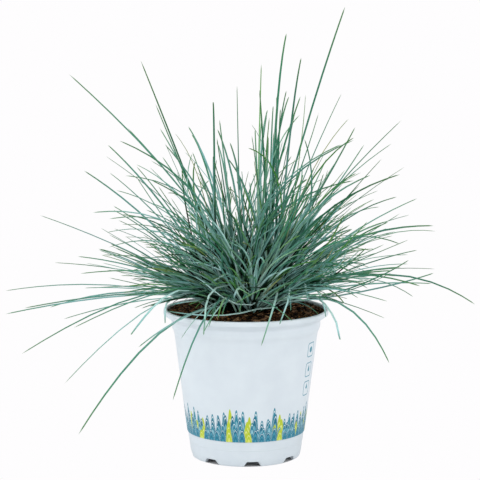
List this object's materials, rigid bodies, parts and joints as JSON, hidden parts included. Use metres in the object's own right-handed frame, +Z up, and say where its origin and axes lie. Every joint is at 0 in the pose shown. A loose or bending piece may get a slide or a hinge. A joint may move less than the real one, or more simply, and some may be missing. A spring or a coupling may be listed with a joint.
{
  "type": "potted blue fescue clump",
  "caption": "Dense tussock of fine needle-like blue-green grass leaves arching out of peat in a tapered white plastic nursery pot with a rolled rim and foot notches.",
  "frame": {"origin": "on the pot's axis, in the plane that the pot stands on", "axes": "+Z up the pot's axis, -Y towards the viewer of the picture, +X to that viewer's right"},
  "size_m": [0.3701, 0.352, 0.3531],
  "materials": {
    "pot_plastic": "satin",
    "peat": "matte",
    "leaf": "satin"
  },
  "bodies": {
    "root": {"pot": "pot_plastic", "potting_soil": "peat", "tuft_01": "leaf", "tuft_02": "leaf", "tuft_03": "leaf", "tuft_04": "leaf", "tuft_05": "leaf", "tuft_06": "leaf", "tuft_07": "leaf", "tuft_08": "leaf", "tuft_09": "leaf", "tuft_10": "leaf", "tuft_11": "leaf", "tuft_12": "leaf", "tuft_13": "leaf", "tuft_14": "leaf", "tuft_15": "leaf", "tuft_16": "leaf", "tuft_17": "leaf", "tuft_18": "leaf", "tuft_19": "leaf", "tuft_20": "leaf", "tuft_21": "leaf", "tuft_22": "leaf", "tuft_23": "leaf", "tuft_24": "leaf", "tuft_25": "leaf", "tuft_26": "leaf", "tuft_27": "leaf", "tuft_28": "leaf", "tuft_29": "leaf", "tuft_30": "leaf", "tuft_31": "leaf", "tuft_32": "leaf", "tuft_33": "leaf", "tuft_34": "leaf", "tuft_35": "leaf", "tuft_36": "leaf", "tuft_37": "leaf", "tuft_38": "leaf", "tuft_39": "leaf", "tuft_40": "leaf", "tuft_41": "leaf", "tuft_42": "leaf", "tuft_43": "leaf", "tuft_44": "leaf", "tuft_45": "leaf", "tuft_46": "leaf", "tuft_47": "leaf", "tuft_48": "leaf", "tuft_49": "leaf", "tuft_50": "leaf", "tuft_51": "leaf", "tuft_52": "leaf", "tuft_53": "leaf", "tuft_54": "leaf", "tuft_55": "leaf", "tuft_56": "leaf", "tuft_57": "leaf", "tuft_58": "leaf"}
  },
  "joints": []
}
